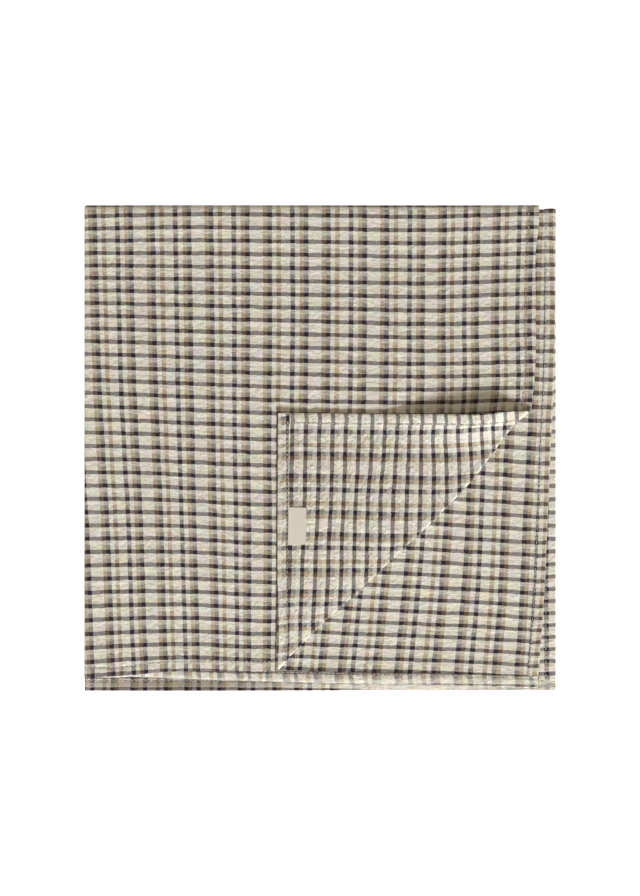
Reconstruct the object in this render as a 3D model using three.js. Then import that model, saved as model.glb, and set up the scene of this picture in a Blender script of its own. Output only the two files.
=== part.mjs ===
// A square scarf of check cotton, folded in four, with the free corner of its top layer turned back.
// It lies on a table. Millimetres, +Z up, +X to the right, +Y away from the hems.
// The origin is on the table, under the middle of the folded scarf.
// The first fold is at the left and makes two pairs of layers. The second fold is at the back.

import * as THREE from 'three';

// Outline of the folded scarf
const WIDTH = 354;
const DEPTH = 364;

// The cloth and its hem, which is thicker on the wrong side
const SHEET = 1.0;
const HEM_WIDTH = 7.5;
const HEM_STEP = 0.5;
const HEM_SLOPE = 0.6;

// Distances between the middle surfaces of layers that lie on each other
const PAIR_GAP = 2.4;
const NEST_GAP = 1.6;
const FLAP_GAP = 1.6;

// The two middle layers turn round the second fold a little short of the outer two
const NEST_SHORT = 1.0;

// How far each layer's free edges stop short of the outline, at shares of the way from a fold.
// side: down the right edge, 0 at the second fold and 1 at the hem.
// front: along the front hem, 0 at the first fold and 1 at the right edge.
const LAYERS = {
  top: {
    side: [
      { at: 0, short: 12.8 },
      { at: 0.2, short: 13.9 },
      { at: 0.38, short: 16.3 },
      { at: 0.44, short: 19.0 },
      { at: 1, short: 16.3 },
    ],
    front: [
      { at: 0, short: 9.8 },
      { at: 0.1, short: 9.9 },
      { at: 0.2, short: 13.2 },
      { at: 0.42, short: 15.5 },
      { at: 1, short: 20.9 },
    ],
  },
  second: {
    side: [
      { at: 0, short: 0 },
      { at: 0.2, short: 0.4 },
      { at: 0.4, short: 2.2 },
      { at: 0.6, short: 6.6 },
      { at: 0.8, short: 10.3 },
      { at: 1, short: 13.1 },
    ],
    front: [
      { at: 0, short: 9.8 },
      { at: 0.2, short: 7.9 },
      { at: 0.5, short: 5.0 },
      { at: 0.8, short: 3.6 },
      { at: 1, short: 1.5 },
    ],
  },
  third: {
    side: [{ at: 0, short: 0 }, { at: 1, short: 0 }],
    front: [{ at: 0, short: 0 }, { at: 1, short: 0 }],
  },
  lowest: {
    side: [{ at: 0, short: 12.8 }, { at: 1, short: 5 }],
    front: [{ at: 0, short: 0 }, { at: 1, short: 4.5 }],
  },
};

// The turned corner: its crease runs from the front hem to the right edge, grows rounder that way,
// and bulges out past a straight line
const CREASE_FRONT_END = new THREE.Vector2(-32, -166.5);
const CREASE_SIDE_END = new THREE.Vector2(158, 28.5);
const CREASE_RADIUS = { front: 0.9, side: 2.4 };
const CREASE_BULGE = [
  { at: 0.18, short: 0 },
  { at: 0.31, short: 2.3 },
  { at: 0.45, short: 4.0 },
  { at: 0.65, short: 6.0 },
  { at: 0.83, short: 6.0 },
  { at: 0.94, short: 1.5 },
  { at: 1, short: 0 },
];
const BULGE_REACH = 45;
const FLAP_SETTLE = 30;

// The label: a folded tape, sewn into the inner edge of the turned corner's left hem
const LABEL_TAPE = 0.5;
const LABEL_LOOP_RADIUS = 0.4;
const LABEL_OUT = 12.8;
const LABEL_ALONG = 28.5;
const LABEL_ROOT = new THREE.Vector2(-23.2, -58.9);
const LABEL_LIFT = THREE.MathUtils.degToRad(2);
const LABEL_CLEARANCE = 0.3;

// How finely the cloth is faceted
const FLAT_STEPS = 11;
const FOLD_STEPS = 6;
const CREASE_STEPS = 6;
const CREASE_SIDE_LINES = [12, 28, 45];

// Worked out from the sizes above
const QUARTER_TURN = Math.PI / 2;
const PAIR_RADIUS = PAIR_GAP / 2;
const PAIR_OUTER_RADIUS = PAIR_RADIUS + SHEET / 2;
const NEST_RADIUS = NEST_GAP / 2 + PAIR_RADIUS;
const FIRST_FOLD_X = -WIDTH / 2 + PAIR_OUTER_RADIUS;
const SECOND_FOLD_Y = DEPTH / 2 - NEST_RADIUS - PAIR_OUTER_RADIUS;
const FOLD_Z = PAIR_OUTER_RADIUS + NEST_RADIUS;
const TOP_LAYER_Z = FOLD_Z + NEST_RADIUS + PAIR_RADIUS;
const CREASE_LENGTH = CREASE_FRONT_END.distanceTo(CREASE_SIDE_END);
const CREASE_ALONG = CREASE_SIDE_END.clone().sub(CREASE_FRONT_END).normalize();
const CREASE_OUT = new THREE.Vector2(CREASE_ALONG.y, -CREASE_ALONG.x);

const clothMaterial = new THREE.MeshStandardMaterial({ color: 0xc3b9a6, roughness: 0.95, metalness: 0 });
const labelMaterial = new THREE.MeshStandardMaterial({ color: 0xe9e4d6, roughness: 0.85, metalness: 0 });

// Reads a short table of rows { at, short }, in a straight line from each row to the next.
function readRows(rows, at) {
  const last = rows.length - 1;
  const place = THREE.MathUtils.clamp(at, rows[0].at, rows[last].at);
  let next = 1;
  while (next < last && rows[next].at < place) {
    next += 1;
  }
  const from = rows[next - 1];
  const to = rows[next];
  return THREE.MathUtils.mapLinear(place, from.at, to.at, from.short, to.short);
}

// Stations from one free edge to a fold, round the fold, and out to the other free edge.
// share is 0 at the fold and 1 at the free edge. turn falls from a quarter turn to minus one.
function stations(length) {
  const hemInner = 1 - HEM_WIDTH / length;
  const flatEnd = hemInner - HEM_SLOPE / length;
  const shares = [1, hemInner, flatEnd];
  for (let step = FLAT_STEPS - 1; step > 0; step -= 1) {
    shares.push((flatEnd * step) / FLAT_STEPS);
  }
  const outward = shares.map((share) => ({ share, turn: QUARTER_TURN, hem: share >= hemInner }));
  const round = [];
  for (let step = 0; step <= FOLD_STEPS; step += 1) {
    round.push({ share: 0, turn: QUARTER_TURN - (Math.PI * step) / FOLD_STEPS, hem: false });
  }
  const back = outward.map((station) => ({ ...station, turn: -QUARTER_TURN })).reverse();
  return [...outward, ...round, ...back];
}

// The layer at two stations: across goes round the first fold, and along round the second.
function layerAt(across, along) {
  if (along.turn > 0) {
    return across.turn > 0 ? LAYERS.top : LAYERS.second;
  }
  return across.turn > 0 ? LAYERS.lowest : LAYERS.third;
}

function creaseRadius(share) {
  return THREE.MathUtils.lerp(CREASE_RADIUS.front, CREASE_RADIUS.side, share);
}

// Where cloth laid flat leaves the top layer's level, so that the crease's outer face comes to 0.
function creaseStart(share) {
  return -creaseRadius(share) - SHEET / 2;
}

// How far along the crease a flat point lies, as a share of its length, and how far out past it.
function creasePlace(flat) {
  const offset = flat.clone().sub(CREASE_FRONT_END);
  return { share: offset.dot(CREASE_ALONG) / CREASE_LENGTH, out: offset.dot(CREASE_OUT) };
}

// A point of the top layer, given where it lies while the corner is flat, once the corner is turned.
// offset is its distance from the middle surface, towards the right side of the cloth.
function placeOnTopLayer(flat, offset) {
  const { share, out } = creasePlace(flat);
  const radius = creaseRadius(share);
  const start = creaseStart(share);
  const back = out - start - Math.PI * radius;
  let reach = out;
  let height = offset;
  if (back > 0) {
    const settled = THREE.MathUtils.smoothstep(back, 0, FLAP_SETTLE);
    reach = start - back;
    height = THREE.MathUtils.lerp(2 * radius, FLAP_GAP, settled) - offset;
  } else if (out > start) {
    const turn = (out - start) / radius;
    reach = start + (radius - offset) * Math.sin(turn);
    height = radius - (radius - offset) * Math.cos(turn);
  }
  const nearCrease = 1 - THREE.MathUtils.smoothstep(Math.abs(reach), 0, BULGE_REACH);
  const plan = CREASE_FRONT_END.clone();
  plan.addScaledVector(CREASE_ALONG, share * CREASE_LENGTH);
  plan.addScaledVector(CREASE_OUT, reach + readRows(CREASE_BULGE, share) * nearCrease);
  return new THREE.Vector3(plan.x, plan.y, TOP_LAYER_Z + height);
}

// A point where cloth goes round the two folds: flat is its plan place before either fold's turn.
function placeRoundFolds(flat, across, along, offset) {
  const pairRadius = PAIR_RADIUS + offset;
  const level = pairRadius * Math.sin(across.turn);
  const short = (NEST_SHORT * (1 - along.share) * (1 - level / PAIR_OUTER_RADIUS)) / 2;
  const foldRadius = NEST_RADIUS + level;
  return new THREE.Vector3(
    flat.x - pairRadius * Math.cos(across.turn),
    flat.y - short + foldRadius * Math.cos(along.turn),
    FOLD_Z + foldRadius * Math.sin(along.turn),
  );
}

// One point of the cloth. place(offset) gives it on the middle surface or to either side of it.
function clothPoint(across, along, column, row) {
  const layer = layerAt(across, along);
  const sideX = WIDTH / 2 - readRows(layer.side, along.share);
  const frontY = -DEPTH / 2 + readRows(layer.front, across.share);
  const flat = new THREE.Vector2(
    THREE.MathUtils.lerp(FIRST_FOLD_X, sideX, across.share),
    THREE.MathUtils.lerp(SECOND_FOLD_Y, frontY, along.share),
  );
  const canTurn = across.turn === QUARTER_TURN && along.turn === QUARTER_TURN && across.share > 0;
  const place = canTurn
    ? (offset) => placeOnTopLayer(flat, offset)
    : (offset) => placeRoundFolds(flat, across, along, offset);
  return { column, row, flat, place, canTurn, hem: across.hem || along.hem ? 1 : 0 };
}

// The point part of the way from one point of the top layer to another.
function pointBetween(from, to, share) {
  const flat = from.flat.clone().lerp(to.flat, share);
  return {
    column: THREE.MathUtils.lerp(from.column, to.column, share),
    row: THREE.MathUtils.lerp(from.row, to.row, share),
    hem: THREE.MathUtils.lerp(from.hem, to.hem, share),
    flat,
    canTurn: true,
    place: (offset) => placeOnTopLayer(flat, offset),
  };
}

// The lines along the crease where the cloth is cut into facets.
function creaseLines() {
  const lines = [];
  for (let step = 0; step <= CREASE_STEPS; step += 1) {
    lines.push({ turn: (Math.PI * step) / CREASE_STEPS, beyond: 0 });
  }
  for (const beyond of CREASE_SIDE_LINES) {
    lines.push({ turn: 0, beyond: -beyond });
    lines.push({ turn: Math.PI, beyond });
  }
  return lines;
}

// How far a point of the top layer lies beyond a line along the crease.
function beyondLine(point, line) {
  const { share, out } = creasePlace(point.flat);
  return out - creaseStart(share) - line.turn * creaseRadius(share) - line.beyond;
}

// Cuts a facet in two along a line. Returns one or two facets.
function cutFacet(facet, line) {
  const nearer = [];
  const farther = [];
  facet.forEach((point, index) => {
    const next = facet[(index + 1) % facet.length];
    const here = beyondLine(point, line);
    const there = beyondLine(next, line);
    (here < 0 ? nearer : farther).push(point);
    if (here < 0 !== there < 0) {
      const cut = pointBetween(point, next, here / (here - there));
      nearer.push(cut);
      farther.push(cut);
    }
  });
  return [nearer, farther].filter((part) => part.length > 2);
}

// The cloth's facets, each a ring of points, with those of the top layer cut along the crease.
function clothFacets() {
  const acrossStations = stations(WIDTH);
  const alongStations = stations(DEPTH);
  const grid = alongStations.map((along, row) =>
    acrossStations.map((across, column) => clothPoint(across, along, column, row)),
  );
  const lines = creaseLines();
  const facets = [];
  for (let row = 1; row < grid.length; row += 1) {
    for (let column = 1; column < grid[row].length; column += 1) {
      const corners = [
        grid[row - 1][column - 1],
        grid[row - 1][column],
        grid[row][column],
        grid[row][column - 1],
      ];
      let pieces = [corners];
      if (corners.every((corner) => corner.canTurn)) {
        for (const line of lines) {
          pieces = pieces.flatMap((piece) => cutFacet(piece, line));
        }
      }
      facets.push(...pieces);
    }
  }
  return { facets, lastColumn: acrossStations.length - 1, lastRow: alongStations.length - 1 };
}

// Whether the edge from one point to another is on the cloth's outer edge.
function isOuterEdge(from, to, lastColumn, lastRow) {
  const onSide = from.column === to.column && (from.column === 0 || from.column === lastColumn);
  const onFront = from.row === to.row && (from.row === 0 || from.row === lastRow);
  return onSide || onFront;
}

// The whole cloth as one closed solid: its right side, its wrong side and the wall round its edge.
function buildCloth() {
  const { facets, lastColumn, lastRow } = clothFacets();
  const corners = [];
  const rightSide = (point) => point.place(SHEET / 2);
  const wrongSide = (point) => point.place(-SHEET / 2 - HEM_STEP * point.hem);
  const addTriangle = (...points) => {
    for (const { x, y, z } of points) {
      corners.push(x, y, z);
    }
  };
  for (const facet of facets) {
    for (let index = 2; index < facet.length; index += 1) {
      const [first, second, third] = [facet[0], facet[index - 1], facet[index]];
      addTriangle(rightSide(third), rightSide(second), rightSide(first));
      addTriangle(wrongSide(first), wrongSide(second), wrongSide(third));
    }
    facet.forEach((from, index) => {
      const to = facet[(index + 1) % facet.length];
      if (isOuterEdge(from, to, lastColumn, lastRow)) {
        addTriangle(rightSide(from), rightSide(to), wrongSide(to));
        addTriangle(rightSide(from), wrongSide(to), wrongSide(from));
      }
    });
  }
  const geometry = new THREE.BufferGeometry();
  geometry.setAttribute('position', new THREE.Float32BufferAttribute(corners, 3));
  geometry.computeVertexNormals();
  const cloth = new THREE.Mesh(geometry, clothMaterial);
  cloth.name = 'cloth';
  return cloth;
}

// The label: a loop of tape with two legs, whose fold is its free end, a little lifted.
function buildLabel() {
  const outer = LABEL_LOOP_RADIUS + LABEL_TAPE / 2;
  const inner = LABEL_LOOP_RADIUS - LABEL_TAPE / 2;
  const bend = LABEL_OUT - outer;
  const section = new THREE.Shape();
  section.moveTo(0, 0);
  section.lineTo(bend, 0);
  section.absarc(bend, outer, outer, -QUARTER_TURN, QUARTER_TURN, false);
  section.lineTo(0, 2 * outer);
  section.lineTo(0, outer + inner);
  section.lineTo(bend, outer + inner);
  section.absarc(bend, outer, inner, QUARTER_TURN, -QUARTER_TURN, true);
  section.lineTo(0, outer - inner);
  const geometry = new THREE.ExtrudeGeometry(section, {
    depth: LABEL_ALONG,
    bevelEnabled: false,
    curveSegments: 6,
  });
  geometry.translate(0, 0, -LABEL_ALONG / 2);
  geometry.rotateX(QUARTER_TURN);
  const label = new THREE.Mesh(geometry, labelMaterial);
  const flapTopZ = TOP_LAYER_Z + FLAP_GAP + SHEET / 2;
  label.position.set(LABEL_ROOT.x, LABEL_ROOT.y, flapTopZ + LABEL_CLEARANCE);
  label.rotation.y = -LABEL_LIFT;
  label.name = 'label';
  return label;
}

const scarf = new THREE.Group();
scarf.add(buildCloth(), buildLabel());

export default scarf;
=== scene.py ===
# A square cotton scarf in a small check, folded in four, with the free corner of its top layer
# turned back. It lies on a table, seen from straight above.
# Sizes are in millimetres and go into Blender in metres. +X runs to the free right edges,
# +Y to the second fold at the back, +Z up.

import math

import bmesh
import bpy
import numpy as np
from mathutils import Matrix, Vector


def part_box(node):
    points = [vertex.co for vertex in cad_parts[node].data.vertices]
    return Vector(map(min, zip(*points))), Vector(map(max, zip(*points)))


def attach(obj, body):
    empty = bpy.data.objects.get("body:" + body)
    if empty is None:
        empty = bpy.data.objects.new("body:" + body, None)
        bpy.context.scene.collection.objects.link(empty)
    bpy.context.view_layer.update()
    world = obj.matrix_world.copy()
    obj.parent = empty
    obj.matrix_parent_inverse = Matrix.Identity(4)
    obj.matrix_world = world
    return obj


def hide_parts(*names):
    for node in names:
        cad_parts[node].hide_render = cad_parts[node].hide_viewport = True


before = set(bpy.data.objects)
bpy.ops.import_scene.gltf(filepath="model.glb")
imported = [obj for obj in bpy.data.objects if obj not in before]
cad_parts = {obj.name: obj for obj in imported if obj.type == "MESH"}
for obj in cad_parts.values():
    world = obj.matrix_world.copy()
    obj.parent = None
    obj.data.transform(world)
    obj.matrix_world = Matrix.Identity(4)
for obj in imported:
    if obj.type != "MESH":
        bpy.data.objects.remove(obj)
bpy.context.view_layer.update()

MM = 0.001
QUARTER_TURN = math.pi / 2

# The folded scarf's outline
CLOTH_LOW, CLOTH_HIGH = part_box("cloth")
LEFT = CLOTH_LOW.x / MM
RIGHT = CLOTH_HIGH.x / MM
FRONT = CLOTH_LOW.y / MM
BACK = CLOTH_HIGH.y / MM
WIDTH = RIGHT - LEFT
DEPTH = BACK - FRONT
MEAN_SIDE_SHORT = 15
MEAN_FRONT_SHORT = 12

# The cloth, and the middle surfaces of its layers at the folds
HALF_SHEET = 0.4
PAIR_RADIUS = 1.2
NEST_RADIUS = 2.0
PAIR_OUTER_RADIUS = PAIR_RADIUS + HALF_SHEET
NEST_SHORT = 1.0
FIRST_FOLD_X = LEFT + PAIR_OUTER_RADIUS
SECOND_FOLD_Y = BACK - NEST_RADIUS - PAIR_OUTER_RADIUS
FOLD_Z = PAIR_OUTER_RADIUS + NEST_RADIUS
TOP_LAYER_Z = FOLD_Z + NEST_RADIUS + PAIR_RADIUS
FIRST_ARC = QUARTER_TURN * PAIR_RADIUS
SECOND_ARC = QUARTER_TURN * NEST_RADIUS

# How far each layer's free edges stop short of the outline, at shares of the way from a fold.
# side: down the right edge, from the second fold to the hem.
# front: along the front hem, from the first fold to the right edge.
# sink: how much lower than at the folds the layer lies at its hems and in its middle.
LAYERS = {
    "top": {
        "side": {
            0: 12.9, 0.04: 13.1, 0.07: 14.6, 0.2: 15.3, 0.37: 16.1,
            0.44: 18.6, 0.54: 20.6, 0.66: 20.2, 1: 16.4,
        },
        "front": {0: 9.8, 0.08: 9.8, 0.15: 13.1, 0.23: 14.2, 0.43: 14.2, 0.5: 15.5, 0.72: 17.7, 1: 20.5},
        "sink": {"hem": 0.8, "middle": 1.2},
    },
    "second": {
        "side": {0: 0, 0.19: 0.4, 0.39: 2, 0.49: 3.9, 0.57: 5.1, 0.71: 7.3, 0.82: 9.2, 0.93: 12, 1: 13.9},
        "front": {0: 9.8, 0.08: 9.8, 0.26: 7.5, 0.42: 6.0, 0.54: 4.9, 0.78: 3.8, 1: 1.5},
        "sink": {"hem": 0.5, "middle": 0.8},
    },
    "third": {
        "side": {0: 0, 1: 0},
        "front": {0: -0.6, 1: -0.6},
        "sink": {"hem": 0.2, "middle": 0.4},
    },
    "lowest": {
        "side": {0: 12.9, 1: 5},
        "front": {0: 0, 1: 4.5},
        "sink": {"hem": 0, "middle": 0},
    },
}
SINK_REACH = 45
HEM_SINK_REACH = 25

# How high the third layer's front edge stands, at mm from the first fold, and how far back
# that reaches
FRONT_LIFT = {0: 1.2, 15: 1.9, 130: 1.9, 165: 0.4, 200: 0}
FRONT_LIFT_REACH = 8.5

# The hem: rows across it, from the edge inwards, and how far each face stands out there.
# wrong is the face with the turned-over band, right the other. Both dip at the stitch line.
# HEM_TUCKED is how much of the side hem's height is lost under the front hem.
EDGE_ROUND = 0.5
HEM_TUCKED = 0.6
HEM_STITCH = 7.1
HEM_BAND = 8.2
HEM_ROWS = [
    {"from_edge": 0.0, "right": 0.0, "wrong": 0.3},
    {"from_edge": 0.7, "right": 0.02, "wrong": 0.5},
    {"from_edge": 2.0, "right": 0.04, "wrong": 0.6},
    {"from_edge": 4.2, "right": 0.04, "wrong": 0.6},
    {"from_edge": 6.2, "right": 0.0, "wrong": 0.55},
    {"from_edge": 6.8, "right": -0.14, "wrong": 0.3},
    {"from_edge": 7.3, "right": -0.14, "wrong": 0.3},
    {"from_edge": 7.8, "right": 0.0, "wrong": 0.5},
    {"from_edge": 8.2, "right": 0.04, "wrong": 0.38},
    {"from_edge": 8.6, "right": 0.02, "wrong": 0.14},
    {"from_edge": 9.2, "right": 0.0, "wrong": 0.03},
    {"from_edge": 10.2, "right": 0.0, "wrong": 0.0},
]

# The turned corner: its crease runs from the front hem to the right edge, grows rounder that way,
# and bulges out past a straight line.
CREASE_FRONT_END = np.array([-32.0, -166.5])
CREASE_SIDE_END = np.array([158.0, 28.5])
CREASE_RADIUS = {0: 0.5, 0.5: 0.6, 0.8: 0.95, 0.95: 1.6, 1: 1.9}
CREASE_BULGE = {
    0: 0, 0.18: 0, 0.31: 2.3, 0.45: 4.0, 0.65: 6.0,
    0.77: 5.0, 0.83: 2.9, 0.9: 0, 0.95: -0.9, 1: 0,
}
BULGE_REACH = 45
FLAP_GAP = 1.9
FLAP_SETTLE = {0: 14, 0.5: 22, 0.8: 40, 1: 70}

# How high the turned corner's back edge stands towards its right end, at places across
FLAP_LIFT = {50: 0, 78: 3.7, 100: 6.7, 122: 7.6, 142: 6.7, 158: 3.3}
FLAP_LIFT_REACH = 30
FLAP_LIFT_START = 16
FLAP_BACK_Y = 25.5

# How finely the cloth is made, in mm from line to line, where it shows and where it is hidden
FINE = 2.7
SECOND_FINE = 3.2
COARSE = 12
SECOND_HIDDEN = 128
FOLD_STEPS = 8
CREASE_TURNS = 8
CREASE_SIDE_LINES = (1.5, 4, 8)
EDGE_TURNS = 4

# Rounds in which a layer's sizes and a stitch line's place settle, and where the line starts out
SIZE_ROUNDS = 6
LINE_ROUNDS = 8
LINE_START = 300

# What counts as on the edge, and how far past a fold's end its threads are read, in mm
ON_EDGE = 0.01
PAST_FOLD = 1e-6

# The check. Stripes are given from left to right on the top layer, in mm, starting at the left
# side of a wide cream stripe. Weft bands are given going forward, from the middle of a dark one.
WARP_STRIPES = [
    {"yarn": "cream", "width": 9.8},
    {"yarn": "tan", "width": 3.3},
    {"yarn": "charcoal", "width": 3.4},
    {"yarn": "cream", "width": 3.3},
    {"yarn": "tan", "width": 3.3},
    {"yarn": "cream", "width": 6.8},
    {"yarn": "charcoal", "width": 3.5},
    {"yarn": "cream", "width": 3.5},
    {"yarn": "tan", "width": 3.2},
    {"yarn": "charcoal", "width": 3.4},
]
WEFT_BANDS = [
    {"yarn": "dark", "width": 1.6},
    {"yarn": "bright", "width": 3.3},
    {"yarn": "plain", "width": 3.4},
    {"yarn": "dark", "width": 1.53},
]
WARP_REPEAT = sum(stripe["width"] for stripe in WARP_STRIPES)
WEFT_REPEAT = sum(band["width"] for band in WEFT_BANDS)
STRIPE_EDGE = 0.22
YARN = 0.42

# How far the threads have drifted in each layer from straight lines, in mm.
# The first line has the columns, in mm from the first fold. Each row has its distance from the
# second fold. sideways is to the right, forward is to the front.
DRIFT = {
    "top": {
        "sideways": {
            "columns": (0, 43, 86, 129, 155, 190, 215, 260, 300, 339),
            8: (-0.4, -0.5, -0.2, 0.2, 0.5, 1, 1.2, 1.5, -0.9, -4.2),
            90: (2, 0.9, 1, 0.4, 0.8, 0.8, 1.1, 0.8, -2.4, -6.1),
            143: (4, 2.3, 1.6, 0.2, 0.2, 0.4, 0.4, 0.5, -2.3, -5.5),
            168: (5.6, 3.5, 2, 0.2, 0, 0, -0.2, -0.6, -5.4, -8.4),
            190: (7, 4.6, 2.4, 0.3, -0.3, -0.5, -0.8, -1.6, -5.8, -8.4),
            233: (10, 7, 3.4, 1, -0.3, -1.5, -2.3, -6.3, -9.2, -9.4),
            270: (12, 8.4, 4.4, 1, -0.5, -2.7, -4.9, -8.4, -9, -8),
            310: (13.6, 9.8, 5.6, 0.9, -1.3, -5.3, -6.7, -7.2, -7, -7.1),
            353: (15.4, 11.7, 6.7, 0.6, -2.3, -5.4, -5.9, -5.9, -5.6, -6.1),
        },
        "forward": {
            "columns": (0, 43, 86, 129, 190, 225, 265, 300, 339),
            8: (0.9, -0.2, -0.9, -0.5, 0.2, 0.9, 1, 0, -1.1),
            57: (-2.4, -1.9, -1.1, -0.3, 0.8, 1.5, 1.8, 0.6, -1),
            106: (-4.2, -3, -1.4, -0.1, 1.5, 2.6, 3.3, 2.5, 1.2),
            145: (-4.6, -3, -1.3, 0.4, 2.1, 2.7, 2.6, 1.7, 0.9),
            204: (-3.8, -3.4, -1.5, 0.6, 1.3, 0.9, 0.1, -2.2, -5),
            253: (-3.2, -3.5, -2.6, 0.2, 1.2, 1, -2.6, -7.5, -10.2),
            302: (-1.6, -2.9, -2.7, -0.5, -1.4, -3.6, -7.1, -9, -10.7),
            351: (1.5, -1.4, -2.6, -0.7, -3.5, -5.5, -6.4, -7.7, -9.3),
        },
    },
    "second": {
        "sideways": {
            "columns": (0, 70, 150, 190, 228, 275, 320, 346),
            8: (15.1, 12, 9, 7.6, 6, 3.4, 2.2, 1.7),
            90: (13, 9.8, 6, 4.2, 2.4, -0.2, -0.2, -0.6),
            140: (11.4, 8.2, 4, 2, 0, -2.6, -2.2, -1.3),
            199: (8.1, 6, 1.5, -0.9, -3, -4.9, -4.9, -4.7),
            229: (5.4, 4.5, 0, -2.7, -4.7, -5.8, -6.4, -6.6),
            304: (1.9, 0.5, -5.5, -10.3, -12.1, -10.9, -9.6, -10.3),
            349: (-0.3, -3, -10.5, -15.5, -16.5, -15.1, -13.2, -12.4),
        },
        "forward": {
            "columns": (0, 86, 185, 252, 297, 344),
            3: (0.9, 2.2, 4.5, 5.3, 5.6, 5.8),
            57: (-2.3, 0.8, 3.8, 6, 7, 7.9),
            106: (-4.1, 1.5, 6, 9.5, 11.3, 12.7),
            145: (-4.2, 2.4, 8, 11, 13, 15.4),
            165: (-4, 3, 9, 12, 13.9, 16.4),
            214: (-3.4, 4.5, 11.2, 14.6, 16.7, 19.8),
            243: (-3, 5.2, 11.6, 14.2, 17, 19.4),
            302: (-1.7, 4.5, 9.4, 12.5, 14.7, 17.8),
            351: (1.3, 3, 6.6, 8.4, 10.3, 13.2),
        },
    },
    "third": {
        "sideways": {
            "columns": (0, 20, 70, 110, 228, 331, 354),
            8: (15.1, 14, 12, 10, 6, 2.3, 2.6),
            300: (9, 7, 4, 0, 0, -1, -1),
            360: (6.8, 4.5, 0.5, -2.9, -4.3, -1.6, 0.1),
        },
        "forward": {
            "columns": (0, 117, 170, 237, 300, 351),
            8: (3, 2, 1, 0, -1, -2),
            180: (6, 6, 5.5, 5, 4.5, 4),
            240: (8, 8, 8, 7.5, 7.1, 6.7),
            288: (8, 8, 7.7, 7, 6.5, 5.9),
            333: (6, 6, 6.3, 6.5, 5.5, 2.6),
            359: (3.9, 3.9, 4.5, 5.7, 4.7, 1.1),
        },
    },
    "lowest": {
        "sideways": {
            "columns": (0, 170, 345),
            8: (0, 0, 0),
            360: (12, 6, 0),
        },
        "forward": {
            "columns": (0, 345),
            8: (0, 0),
            360: (0, 0),
        },
    },
}

# Where the threads' own measure lies in each layer: threads count mm across and mm along the flat
# cloth, from the wide cream stripe and the dark band next to the two folds.
# across is at the first fold, along at the second fold, and pitch is how drawn out the bands lie.
THREADS = {
    "top": {"across": 1.7, "sense": 1, "along": -7.8, "going": 1, "pitch": 1},
    "second": {"across": -17.0, "sense": -1, "along": -7.8, "going": 1, "pitch": 1},
    "third": {"across": -17.0, "sense": -1, "along": -8.4, "going": -1, "pitch": 1.0155},
    "lowest": {"across": 1.9, "sense": 1, "along": -17.5, "going": -1, "pitch": 0.981},
}

# The turned-over band shows threads from past the edge. BAND_SHIFT moves them along the front
# hem, at mm from the first fold in the second layer, and BAND_SLANT leans them. The slips are how
# much further past the edge the band starts, on the second layer's side hem and on front hems.
# Faces and points up to BAND_OVER past HEM_BAND still belong to the band.
BAND_SLANT = 0.12
BAND_SHIFT = {0: 0.3, 125: 0.3, 150: -3.5, 180: -3.3, 205: -1, 270: -1, 300: -0.5, 345: 0.3}
SECOND_BAND_SLIP = 2.6
FRONT_BAND_SLIP = 2.0
BAND_OVER = 0.1

# Puckers of the cloth, as soft swellings between its threads: fine ones and broad ones
PUCKER_HEIGHT = 1.25
PUCKER_LONG = 4.6
PUCKER_WIDE = 6
PUCKER_SEED = 3
PUCKER_FINE = {"share": 2.0, "detail": 2.0, "roughness": 0.6}
PUCKER_BROAD = {"share": 0.8, "detail": 1.0, "roughness": 0.5, "stretch": 0.28}

# How freely the cloth may pucker, as shares of PUCKER_HEIGHT, and over how many mm they change
FREE_THIRD = 0.2
FREE_UNDER_CORNER = 0.2
FREE_AT_CREASE = 0.5
FREE_FLAT, FREE_TURNED = 0.85, 1.3
FREE_SECOND_HIDDEN, FREE_SECOND = 0.25, 0.95
FREE_AT_EDGE = 0.4
FREE_FROM_FOLD = 7
FREE_FROM_EDGE = (4, 12)
CREASE_CLEAR = (-8, 6)
CREASE_NEAR = (3, 16)
CORNER_BLEND = 4
TURNED_BLEND = 3

# The fine crinkle between them, and how strongly painted shade darkens the cloth's colour in the
# seams' hollows, within SEAM_REACH mm of a stitch line. SEAM_AWAY stands for no stitch line near.
CRINKLE_HEIGHT = 1.35
LOOSE = {"flat": 0.7, "turned": 1.2}
# painted shade in the seams' hollows: how far the cloth's colour goes towards its shadow colour
SEAM_SHADE = 0.7
SEAM_REACH = (0.3, 0.75)
SEAM_AWAY = 9

# How much the narrow strips along the front hem fade towards the cream yarn
BAND_FADE = 0.12
STRIP_FADE = {0: 0, 185: 0, 205: 0.45, 345: 0.45}

# The sewing thread. STITCH_STANDS is how far a stitch's middle stands out, in thread radii, and
# STITCH_TWIST how far it turns at random, in radians.
STITCH_PITCH = 3.4
STITCH_LENGTH = 2.5
THREAD_RADIUS = 0.2
STITCH_STANDS = 0.55
STITCH_TWIST = 0.06
STITCH_SEED = 5
PATH_STEP = 1.0

# The label, a folded tape caught in the hem's inner edge. It starts LABEL_CLEAR above the turned
# corner's level, taken LABEL_LEVEL_AT from its root and without the hem's height and the puckers,
# so its underside sinks into them at places. It lifts towards its free end, a little more on one
# side, and narrows that way.
LABEL_LOW, LABEL_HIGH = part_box("label")
LABEL_WIDE = (LABEL_HIGH.y - LABEL_LOW.y) / MM
LABEL_ROOT_X = -24.0
LABEL_TIP_X = LABEL_HIGH.x / MM
LABEL_MIDDLE_Y = (LABEL_HIGH.y + LABEL_LOW.y) / 2 / MM
LABEL_TAPE = 0.25
LABEL_LOOP = 0.12
LABEL_CLEAR = 0.12
LABEL_LIFT = 0.35
LABEL_LIFT_SKEW = 0.6
LABEL_TAPER = 0.035
LABEL_ROOT_SKEW = 0.36
LABEL_LEVEL_AT = 6

# The picture: how much of the table it takes in from front to back, at VIEW_LEVEL above the
# table, and where its middle lies. VIEW_DISTANCE is in metres.
VIEW_HEIGHT = 672
VIEW_DISTANCE = 2.6
VIEW_MIDDLE = (-0.2, -0.3)
VIEW_LEVEL = 6.5
SENSOR = 36

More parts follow.
